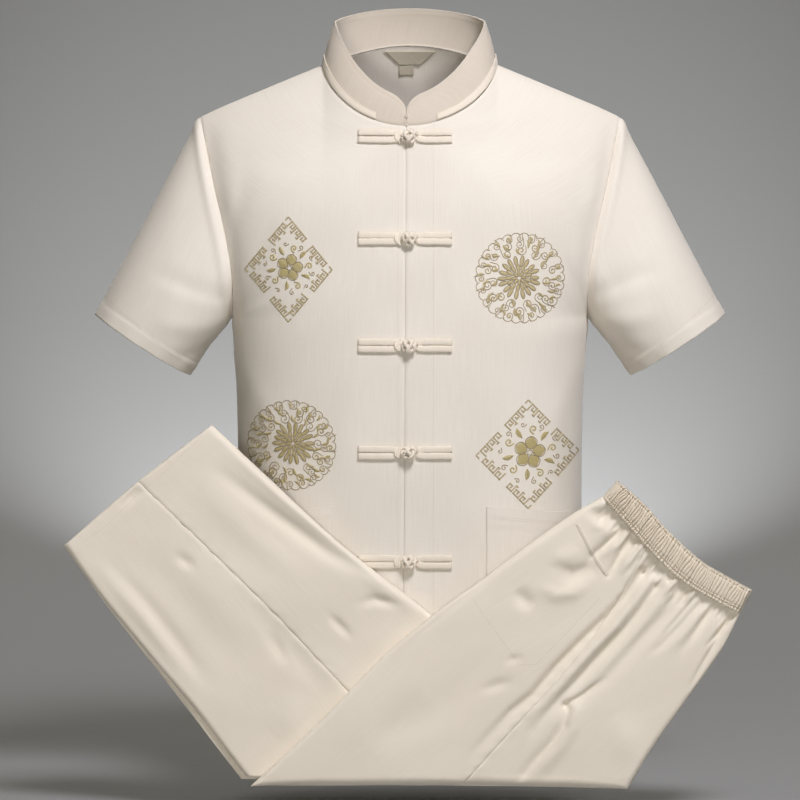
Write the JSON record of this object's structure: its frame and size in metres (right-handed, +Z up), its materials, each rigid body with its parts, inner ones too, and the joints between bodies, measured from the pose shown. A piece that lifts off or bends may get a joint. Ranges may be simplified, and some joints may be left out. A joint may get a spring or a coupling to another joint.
{
  "type": "tang suit",
  "caption": "Short-sleeved jacket with a stand collar and knotted frog fastenings, filled out as worn, with its elastic-waisted trousers folded flat in front of it.",
  "frame": {"origin": "between the wearer's shoulders, level with the points where the shoulder seams meet the collar", "axes": "+Z up, -Y the way the jacket faces, +X towards the wearer's left"},
  "size_m": [0.768, 0.2784, 0.8695],
  "materials": {
    "jacket_cloth": "matt plain-woven slub cotton blend, cream beige",
    "trim_satin": "the same cream cloth, cut on the bias and stitched, slightly smoother",
    "label_satin": "woven satin ribbon, pale grey gold, bare",
    "trouser_cloth": "matt plain-woven slub cotton blend, cream beige",
    "waistband_elastic": "the same cloth gathered over wide elastic"
  },
  "bodies": {
    "root": {"jacket_front_right": "jacket_cloth", "jacket_front_left": "jacket_cloth", "jacket_back": "jacket_cloth", "sleeve_right": "jacket_cloth", "sleeve_left": "jacket_cloth", "collar": "trim_satin", "collar_strip": "trim_satin", "pocket_right": "jacket_cloth", "pocket_left": "jacket_cloth", "neck_label": "label_satin", "size_tab": "label_satin", "trousers_near_front": "trouser_cloth", "trousers_near_back": "trouser_cloth", "trousers_far_upper": "trouser_cloth", "trousers_far_lower": "trouser_cloth", "trousers_near_layers": "trouser_cloth", "trousers_far_layers": "trouser_cloth", "waistband_near": "waistband_elastic", "waistband_far": "waistband_elastic", "trousers_pocket_edge": "trouser_cloth", "frog_1_loop": "trim_satin", "frog_1_stem": "trim_satin", "frog_1_knot": "trim_satin", "frog_2_loop": "trim_satin", "frog_2_stem": "trim_satin", "frog_2_knot": "trim_satin", "frog_3_loop": "trim_satin", "frog_3_stem": "trim_satin", "frog_3_knot": "trim_satin", "frog_4_loop": "trim_satin", "frog_4_stem": "trim_satin", "frog_4_knot": "trim_satin", "frog_5_loop": "trim_satin", "frog_5_stem": "trim_satin", "frog_5_knot": "trim_satin"}
  },
  "joints": []
}
